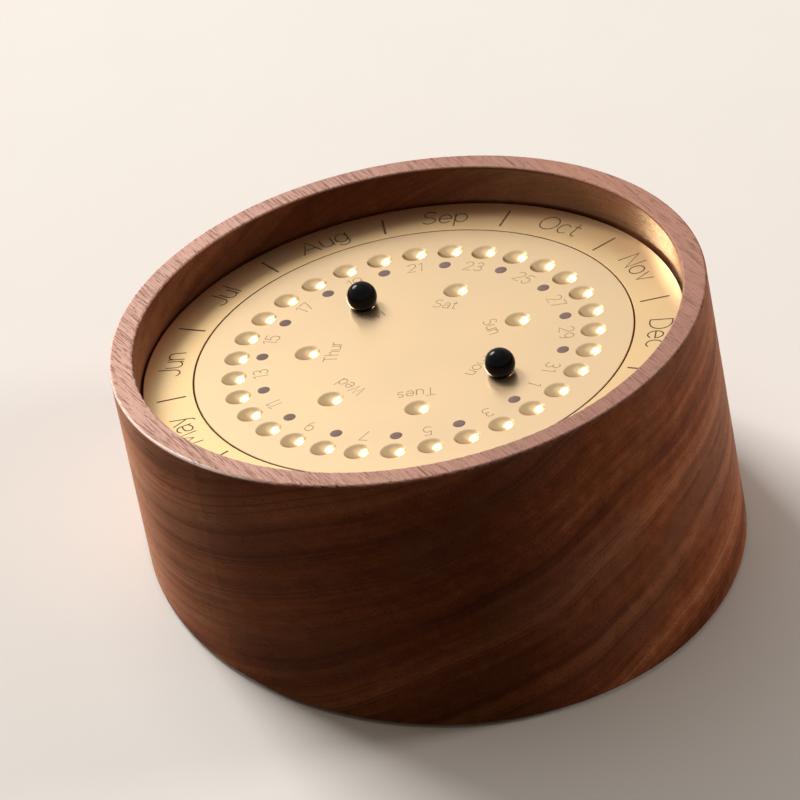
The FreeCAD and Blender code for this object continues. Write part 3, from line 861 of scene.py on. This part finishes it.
def glyphs() -> dict[str, Glyph]:
    """Draws the dial's letters and figures, in plain round-ended strokes.

    Returns:
        Each glyph by its letter or figure.
    """
    h = X_HEIGHT
    r = h / 2
    bowl = arc(0.28, r, 0.28, r, 0, 360)
    shoulder = arc(0.25, h - 0.25, 0.25, 0.25, 180, 0)
    left_bowl = arc(0.28, r, 0.28, r, 180, 540)
    short, tall = [(0, 0), (0, h)], [(0, 0), (0, 1.04)]
    return {
        "1": Glyph(0.22, [[(0, 0.84), (0.22, 1), (0.22, 0)]]),
        "2": Glyph(0.58, [arc(0.29, 0.71, 0.28, 0.29, 165, -35) + [(0.02, 0), (0.58, 0)]]),
        "3": Glyph(0.56, [
            arc(0.27, 0.76, 0.24, 0.24, 150, -90) + [(0.2, 0.52)],
            arc(0.27, 0.26, 0.28, 0.26, 90, -150),
        ]),
        "5": Glyph(0.56, [
            [(0.52, 1), (0.1, 1), (0.04, 0.56)] + arc(0.27, 0.32, 0.28, 0.32, 125, -150),
        ]),
        "7": Glyph(0.56, [[(0, 1), (0.56, 1), (0.2, 0)]]),
        "9": Glyph(0.58, [
            arc(0.29, 0.7, 0.28, 0.3, 0, 360),
            [(0.57, 0.7)] + arc(0.19, 0.38, 0.37, 0.38, 15, -62),
        ]),
        "A": Glyph(0.8, [[(0, 0), (0.4, 1), (0.8, 0)], [(0.14, 0.34), (0.66, 0.34)]]),
        "D": Glyph(0.74, [
            [(0, 0), (0, 1), (0.26, 1)] + arc(0.26, 0.5, 0.48, 0.5, 80, -80) + [(0.26, 0), (0, 0)],
        ]),
        "F": Glyph(0.5, [[(0, 0), (0, 1), (0.5, 1)], [(0, 0.52), (0.44, 0.52)]]),
        "J": Glyph(0.5, [[(0.5, 1), (0.5, 0.27)] + arc(0.24, 0.27, 0.26, 0.27, -10, -150)]),
        "M": Glyph(0.9, [[(0, 0), (0.07, 1), (0.45, 0.26), (0.83, 1), (0.9, 0)]]),
        "N": Glyph(0.74, [[(0, 0), (0, 1), (0.74, 0), (0.74, 1)]]),
        "O": Glyph(0.9, [arc(0.45, 0.5, 0.45, 0.5, 90, 450)]),
        "S": Glyph(0.58, [
            arc(0.29, 0.75, 0.26, 0.25, 35, 240) + arc(0.28, 0.26, 0.3, 0.26, 70, -145),
        ]),
        "T": Glyph(0.66, [[(0, 1), (0.66, 1)], [(0.33, 1), (0.33, 0)]]),
        "W": Glyph(1.06, [[(0, 1), (0.25, 0), (0.53, 0.96), (0.81, 0), (1.06, 1)]]),
        "a": Glyph(0.5, [
            [(0.5, 0), (0.5, h - 0.22)] + arc(0.26, h - 0.22, 0.24, 0.22, 0, 150),
            [(0.5, 0.4)] + arc(0.21, 0.2, 0.21, 0.2, 90, 270) + [(0.32, 0.02), (0.5, 0.13)],
        ]),
        "b": Glyph(0.56, [left_bowl, tall[::-1]]),
        "c": Glyph(0.5, [arc(0.28, r, 0.28, r, 48, 312)]),
        "d": Glyph(0.56, [bowl, [(0.56, 1.04), (0.56, 0)]]),
        "e": Glyph(0.56, [[(0.01, r)] + arc(0.28, r, 0.28, r, 0, 318)]),
        "g": Glyph(0.56, [
            bowl, [(0.56, h), (0.56, -0.04)] + arc(0.28, -0.04, 0.28, 0.25, -10, -150),
        ]),
        "h": Glyph(0.5, [tall, shoulder + [(0.5, 0)]]),
        "i": Glyph(0.02, [short, [(0, 0.95), (0, 0.98)]]),
        "l": Glyph(0.02, [tall]),
        "n": Glyph(0.5, [short, shoulder + [(0.5, 0)]]),
        "o": Glyph(0.6, [arc(0.3, r, 0.3, r, 90, 450)]),
        "p": Glyph(0.56, [left_bowl, [(0, h), (0, -0.3)]]),
        "r": Glyph(0.3, [short, arc(0.25, h - 0.25, 0.25, 0.25, 180, 75)]),
        "s": Glyph(0.42, [
            arc(0.21, h - 0.17, 0.19, 0.17, 30, 240) + arc(0.2, 0.18, 0.22, 0.18, 65, -145),
        ]),
        "t": Glyph(0.34, [
            [(0.14, 0.92), (0.14, 0.16)] + arc(0.3, 0.16, 0.16, 0.16, 190, 290),
            [(0, h), (0.32, h)],
        ]),
        "u": Glyph(0.5, [
            [(0, h)] + arc(0.25, 0.25, 0.25, 0.25, 180, 360) + [(0.5, h)], [(0.5, h), (0.5, 0)],
        ]),
        "v": Glyph(0.54, [[(0, h), (0.27, 0), (0.54, h)]]),
        "y": Glyph(0.54, [[(0, h), (0.28, 0.03)], [(0.54, h), (0.2, -0.24), (0.06, -0.3)]]),
    }


GLYPHS = glyphs()


@dataclass(frozen=True)
class Pen:
    """A round-ended stroke of filled-in colour, slightly crowned.

    The crown gives shares of the half width and of the height, from the stroke's side inwards.
    """

    width_mm: float
    proud_mm: float = 0.02
    sunk_mm: float = 0.02
    crown: Sequence[Point] = ((-0.92, 0.4), (-0.45, 0.9))
    end_turns: Sequence[float] = (math.radians(30), math.radians(60), math.radians(90))
    narrowest: float = 0.02
    sharpest: float = 0.6

    def stations(self, stroke: Sequence[Vector]) -> list[Station]:
        """Sets out places along the stroke.

        Args:
            stroke: The stroke's points, in the dial's plane.

        Returns:
            Each place with its sideways direction and its share of the full width.
        """
        places = [stroke[0]]
        for point in stroke[1:]:
            if (point - places[-1]).length > SAME_PLACE_MM:
                places.append(point)
        closed = (places[0] - places[-1]).length < CLOSED_MM and len(places) > 3
        runs = [(b - a).normalized() for a, b in zip(places, places[1:])]
        rows = []
        for index, place in enumerate(places):
            before = runs[index - 1] if index > 0 else (runs[-1] if closed else runs[0])
            after = runs[index] if index < len(runs) else (runs[0] if closed else runs[-1])
            along = (before + after).normalized()
            half_turn = math.sqrt(max(0.0, (1.0 + before.dot(after)) / 2.0))
            rows.append((place, Vector((-along.y, along.x)), 1.0 / max(self.sharpest, half_turn)))
        if closed:
            return rows
        return self.end(rows[0], -runs[0])[::-1] + rows + self.end(rows[-1], runs[-1])

    def end(self, row: Station, outwards: Vector) -> list[Station]:
        """Rounds off one end of the stroke.

        Args:
            row: The stroke's last station there.
            outwards: The direction out of that end.

        Returns:
            The stations that round it, from the stroke outwards.
        """
        place, side, _ = row
        out = outwards * self.width_mm / 2
        return [
            (place + out * math.sin(turn), side, max(self.narrowest, math.cos(turn)))
            for turn in self.end_turns
        ]

    def draw(self, mesh: bmesh.types.BMesh, stroke: Sequence[Vector]) -> None:
        """Adds the stroke's crowned ribbon to a mesh in the dial's axes, in millimetres.

        Args:
            mesh: The mesh.
            stroke: The stroke's points.
        """
        half = self.width_mm / 2
        left = [(-half, -self.sunk_mm)]
        left += [(share * half, level * self.proud_mm) for share, level in self.crown]
        right = [(-offset, level) for offset, level in reversed(left)]
        profile = left + [(0.0, self.proud_mm)] + right
        rings = []
        for place, side, share in self.stations(stroke):
            spots = [(place + side * offset * share, level) for offset, level in profile]
            rings.append([mesh.verts.new((spot.x, spot.y, level)) for spot, level in spots])
        for near, far in zip(rings, rings[1:]):
            for index in range(len(profile) - 1):
                mesh.faces.new((near[index], near[index + 1], far[index + 1], far[index]))


def finished_mesh(name: str, mesh: bmesh.types.BMesh) -> bpy.types.Object:
    """Turns a mesh in the dial's axes and millimetres into a piece.

    Args:
        name: The piece's name.
        mesh: The mesh, which is freed.

    Returns:
        The object, in the scene.
    """
    bmesh.ops.recalc_face_normals(mesh, faces=mesh.faces)
    data = bpy.data.meshes.new(name)
    mesh.to_mesh(data)
    mesh.free()
    data.transform(DIAL.axes() @ Matrix.Scale(MM, 4))
    data.shade_smooth()
    return placed(name, data)


@dataclass(frozen=True)
class Row:
    """How a row of words is set round the dial.

    The foot is how far a word's lower edge lies from the dial's axis.
    """

    foot_mm: float
    height_mm: float
    spacing: float
    pen: Pen

    def strokes(self, word: str, turn: float) -> Iterable[list[Vector]]:
        """Draws one word.

        Args:
            word: Its letters or figures.
            turn: The dial angle of its middle.

        Returns:
            Its strokes in the dial's plane, in millimetres.
        """
        shapes = [GLYPHS[letter] for letter in word]
        total = sum(shape.width for shape in shapes) + self.spacing * (len(shapes) - 1)
        up = Vector((math.cos(turn), math.sin(turn)))
        right = Vector((up.y, -up.x))
        start = -total / 2
        for shape in shapes:
            for stroke in shape.strokes:
                yield [
                    up * (self.foot_mm + y * self.height_mm) + right * (start + x) * self.height_mm
                    for x, y in stroke
                ]
            start += shape.width + self.spacing

    def write(self, name: str, words: Iterable[tuple[str, float]]) -> bpy.types.Object:
        """Draws words as one piece.

        Args:
            name: The piece's name.
            words: Each word with its dial angle.

        Returns:
            The piece.
        """
        mesh = bmesh.new()
        for word, turn in words:
            for stroke in self.strokes(word, turn):
                self.pen.draw(mesh, stroke)
        return finished_mesh(name, mesh)


# ---- Sub-assemblies ----


def dress(node: str, material: bpy.types.Material) -> None:
    """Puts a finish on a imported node.

    Args:
        node: The node's name.
        material: The finish.
    """
    shown = frame["nodes"][node]
    shown.data.materials.clear()
    shown.data.materials.append(material)
    log.info("%s dressed in %s", node, material.name)


def add_piece(made: bpy.types.Object, material: bpy.types.Material, body: Body) -> None:
    """Dresses a new piece and sets it on its body.

    Args:
        made: The piece.
        material: Its finish.
        body: What it rides on.
    """
    made.data.materials.append(material)
    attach(made, body.value)
    log.info("%s rides on %s", made.name, body.value)


@dataclass
class WalnutDrum:
    """The turned walnut drum."""

    finish: Walnut = Walnut()

    def build(self) -> None:
        """Dresses the drum."""
        dress("drum_body", self.finish.material())


@dataclass
class BrassDial:
    """The date disc and the month ring with their markings. A turn is a dial angle."""

    disc_finish: SatinBrass = SatinBrass("satin_brass_disc")
    ring_finish: SatinBrass = SatinBrass(
        "satin_brass_ring", (0.9, 0.641, 0.342), (0.86, 0.585, 0.262), roughness=0.34
    )
    number_ink: Paint = Paint("number_ink", (0.29, 0.19, 0.1))
    month_fill: Paint = Paint("month_fill", (0.07, 0.038, 0.014))
    dot_ink: Paint = Paint("dot_ink", (0.19, 0.125, 0.112))

    date_row: Row = Row(29.3, 3.0, 0.2, Pen(0.17))
    weekday_row: Row = Row(15.2, 2.7, 0.2, Pen(0.17))
    month_row: Row = Row(47.3, 4.55, 0.17, Pen(0.31))
    tick_pen: Pen = Pen(0.48, proud_mm=0.008, sunk_mm=0.12)

    dates: int = 31
    last_date_turn: float = math.radians(107.8)
    week_turn: float = math.radians(149.4)
    year_turn: float = math.radians(111.6)
    weekdays: Sequence[str] = ("Sun", "Mon", "Tues", "Wed", "Thur", "Fri", "Sat")
    months: Sequence[str] = (
        "Jan", "Feb", "Mar", "Apr", "May", "Jun", "Jul", "Aug", "Sep", "Oct", "Nov", "Dec",
    )
    dot_radius_mm: float = 30.96
    dot_size_mm: float = 2.55
    dot_profile: Sequence[Point] = ((1.0, -0.02), (0.96, 0.012), (0.6, 0.018))
    dot_sides: int = 32
    tick_from_mm: float = 46.1
    tick_to_mm: float = 52.0
    tick_width_mm: float = 0.3

    def date_turn(self, date: int) -> float:
        """The dial angle of a date."""
        return self.last_date_turn - math.tau * date / self.dates

    def dots(self) -> bpy.types.Object:
        """Draws the printed dots of the even dates.

        Returns:
            The piece.
        """
        mesh = bmesh.new()
        corners = [math.tau * k / self.dot_sides for k in range(self.dot_sides)]
        for date in range(2, self.dates, 2):
            turn = self.date_turn(date)
            x, y = self.dot_radius_mm * math.cos(turn), self.dot_radius_mm * math.sin(turn)
            loops = []
            for share, level in self.dot_profile:
                reach = self.dot_size_mm / 2 * share
                loops.append([
                    mesh.verts.new((x + reach * math.cos(a), y + reach * math.sin(a), level))
                    for a in corners
                ])
            for near, far in zip(loops, loops[1:]):
                for k in range(self.dot_sides):
                    after = (k + 1) % self.dot_sides
                    mesh.faces.new((near[k], near[after], far[after], far[k]))
            mesh.faces.new(loops[-1])
        return finished_mesh("even_date_dots", mesh)

    def ticks(self) -> bpy.types.Object:
        """Fills the grooves between the months.

        Returns:
            The piece.
        """
        mesh = bmesh.new()
        half = self.tick_width_mm / 2
        for index in range(len(self.months)):
            turn = self.year_turn - math.tau * index / len(self.months)
            out = Vector((math.cos(turn), math.sin(turn)))
            ends = [out * (self.tick_from_mm + half), out * (self.tick_to_mm - half)]
            self.tick_pen.draw(mesh, ends)
        return finished_mesh("month_tick_fill", mesh)

    def build(self) -> None:
        """Dresses the disc and the ring, and sets their markings on them.

        Only odd dates have a number. Weekdays and months run clockwise, each month in the middle
        between its two ticks.
        """
        dress("date_disc", self.disc_finish.material())
        dress("month_ring", self.ring_finish.material())
        ink, fill = self.number_ink.material(), self.month_fill.material()
        day, month = math.tau / len(self.weekdays), math.tau / len(self.months)
        dates = [(str(date), self.date_turn(date)) for date in range(1, self.dates + 1, 2)]
        week = [(word, self.week_turn - day * k) for k, word in enumerate(self.weekdays)]
        year = [(word, self.year_turn - month * (k + MIDDLE)) for k, word in enumerate(self.months)]
        numbers = self.date_row.write("odd_date_numbers", dates)
        weekdays = self.weekday_row.write("weekday_names", week)
        add_piece(numbers, ink, Body.DRUM)
        add_piece(weekdays, ink, Body.DRUM)
        add_piece(self.dots(), self.dot_ink.material(), Body.DRUM)
        months = self.month_row.write("month_names", year)
        add_piece(months, fill, Body.RING)
        add_piece(self.ticks(), fill, Body.RING)


@dataclass
class MarkerBalls:
    """The two loose balls."""

    finish: GlossBlack = GlossBlack()
    nodes: Sequence[str] = ("first_marker_ball", "second_marker_ball")

    def build(self) -> None:
        """Dresses the balls."""
        gloss = self.finish.material()
        for node in self.nodes:
            dress(node, gloss)


@dataclass
class HiddenWorks:
    """What carries the dial inside the drum, and what closes the drum below."""

    aluminium: Metal = Metal(
        "milled_aluminium", (0.7, 0.7, 0.72), 0.42, Pattern(2.5, 3.0, stretch=(0.2, 3.0, 1.0))
    )
    steel: Metal = Metal("plated_steel", (0.62, 0.61, 0.58), 0.32)
    glide: Coated = Coated("glide_plastic", (0.8, 0.8, 0.77), 0.5, relief_mm=0.01)
    black_paint: Coated = Coated("black_paint", (0.022, 0.021, 0.02), 0.42, relief_mm=0.02)
    felt: Felt = Felt()
    steel_nodes: Sequence[str] = (
        "locating_pins", "carrier_screws", "cover_screws", "clamp_stud", "floor_washer",
        "spring_washer", "clamp_nut",
    )

    def build(self) -> None:
        """Dresses the inner pieces."""
        dress("carrier_plate", self.aluminium.material())
        steel = self.steel.material()
        for node in self.steel_nodes:
            dress(node, steel)
        dress("glide_ring", self.glide.material())
        dress("base_cover", self.black_paint.material())
        dress("base_pad", self.felt.material())


# ---- Studio ----


def heading(azimuth: float, elevation: float) -> Vector:
    """A direction by its azimuth, from +X towards +Y, and its elevation, both in degrees."""
    a, e = math.radians(azimuth), math.radians(elevation)
    return Vector((math.cos(a) * math.cos(e), math.sin(a) * math.cos(e), math.sin(e)))


@dataclass(frozen=True)
class Softbox:
    """A square lamp that faces a point, in degrees, metres and watts.

    A lamp that isn't mirrored doesn't show in the metal.
    """

    name: str
    azimuth: float
    elevation: float
    distance: float
    side: float
    power: float
    colour: Colour
    mirrored: bool = True

    def build(self, target: Vector) -> None:
        """Hangs the lamp.

        Args:
            target: The point that it faces.
        """
        out = heading(self.azimuth, self.elevation)
        light = bpy.data.lights.new(self.name, "AREA")
        light.shape = "SQUARE"
        light.size = self.side
        light.energy = self.power
        light.color = self.colour
        lamp = placed(self.name, light)
        lamp.visible_glossy = self.mirrored
        lamp.location = target + out * self.distance
        lamp.rotation_euler = out.to_track_quat("Z", "Y").to_euler()


@dataclass(frozen=True)
class Viewpoint:
    """Where the photograph was taken from: a long lens, a little tilted to one side.

    The point that the lens looks at is given across and up the dial. The angles are in degrees.
    """

    aim_across_mm: float = 14.78
    aim_up_mm: float = 10.79
    azimuth: float = 45.547
    elevation: float = 39.817
    distance: float = 1.18187
    roll: float = -2.738
    lens_mm: float = 271.125
    sensor_mm: float = 36.0
    nearest: float = 0.05
    farthest: float = 20.0

    def build(self) -> None:
        """Makes the camera and hands it to the scene."""
        out = heading(self.azimuth, self.elevation)
        aim = DIAL.axes() @ Vector((self.aim_across_mm * MM, self.aim_up_mm * MM, 0.0))
        rolled = Matrix.Rotation(math.radians(self.roll), 3, "Z")
        facing = out.to_track_quat("Z", "Y").to_matrix() @ rolled
        data = bpy.data.cameras.new("camera")
        data.lens = self.lens_mm
        data.sensor_width = self.sensor_mm
        data.clip_start = self.nearest
        data.clip_end = self.farthest
        camera = placed("camera", data)
        camera.location = aim + out * self.distance
        camera.rotation_euler = facing.to_euler()
        bpy.context.scene.camera = camera


@dataclass
class Studio:
    """The pale floor, the lamps and the camera.

    The surround lights the drum dimly, so that its near side stays dark, while the camera sees it
    white and metal mirrors it nearly white.
    """

    floor_half: float = 4.0
    floor_colour: Colour = (0.86, 0.84, 0.82)
    floor_bounce: Colour = (0.17, 0.105, 0.068)
    floor_roughness: float = 0.85
    floor_gloss: float = 0.15
    paper: Pattern = Pattern(40.0, 3.0)
    paper_times: float = 1.03
    surround: float = 0.1
    mirrored_surround: float = 0.66
    backdrop: Colour = (1.0, 0.985, 0.965)
    dim_room: Colour = (1.0, 0.78, 0.52)
    lamps: Sequence[Softbox] = (
        Softbox("key", -96, 28, 3, 1.1, 105, (1, 0.965, 0.92)),
        Softbox("skylight", -100, 66, 2.6, 2, 5, (1, 0.99, 0.97)),
        Softbox("overhead", -100, 66, 2.6, 2, 11.5, (1, 0.99, 0.97), mirrored=False),
        Softbox("right_fill", 147, 8, 2.6, 0.6, 46, (1, 0.9, 0.83), mirrored=False),
        Softbox("left_fill", -82, 5.5, 3, 0.3, 62, (1, 0.92, 0.87), mirrored=False),
    )

    def floor_finish(self) -> bpy.types.Material:
        """Writes pale paper, which throws less light back at the drum than it shows.

        Returns:
            The material.
        """
        sheet = Sheet(bpy.data.materials.new("floor"))
        paper = sheet.noise(sheet.node("ShaderNodeTexCoord").outputs["Object"], self.paper)
        paler = tinted(self.floor_colour, self.paper_times)
        inputs: Values = {
            "Base Color": sheet.mixed(paper, self.floor_colour, paler),
            "Roughness": self.floor_roughness,
            "Specular IOR Level": self.floor_gloss,
        }
        shown = sheet.node("ShaderNodeBsdfPrincipled", None, inputs).outputs[0]
        bounced = sheet.node("ShaderNodeBsdfDiffuse", None, {"Color": self.floor_bounce}).outputs[0]
        seen, mirrored = sheet.rays()
        inputs = {0: seen + mirrored, 1: bounced, 2: shown}
        either = sheet.node("ShaderNodeMixShader", None, inputs)
        sheet.node("ShaderNodeOutputMaterial", None, {"Surface": either.outputs[0]})
        return sheet.owner

    def floor(self) -> None:
        """Lays the floor."""
        mesh = bmesh.new()
        bmesh.ops.create_grid(mesh, x_segments=1, y_segments=1, size=self.floor_half)
        data = bpy.data.meshes.new("floor")
        mesh.to_mesh(data)
        mesh.free()
        data.materials.append(self.floor_finish())
        floor = placed("floor", data)

    def world(self) -> None:
        """Makes the even surround."""
        world = bpy.data.worlds.new("studio")
        bpy.context.scene.world = world
        sheet = Sheet(world)
        seen, mirrored = sheet.rays()
        strength = (
            self.surround
            + seen * (1.0 - self.surround)
            + mirrored * (self.mirrored_surround - self.surround)
        )
        colour = sheet.mixed(seen + mirrored, self.dim_room, self.backdrop)
        glow = sheet.node("ShaderNodeBackground", None, {"Color": colour, "Strength": strength})
        sheet.node("ShaderNodeOutputWorld", None, {"Surface": glow.outputs[0]})

    def build(self) -> None:
        """Sets up the studio and the view."""
        self.floor()
        self.world()
        for lamp in self.lamps:
            lamp.build(DIAL.centre)
        bpy.context.scene.view_settings.view_transform = "Standard"
        Viewpoint().build()


def main() -> None:
    """Dresses the calendar, sub-assembly by sub-assembly, and lights it."""
    logging.basicConfig(level=logging.INFO, format="%(name)s: %(message)s")
    WalnutDrum().build()
    BrassDial().build()
    MarkerBalls().build()
    HiddenWorks().build()
    Studio().build()


if __name__ == "__main__":
    main()
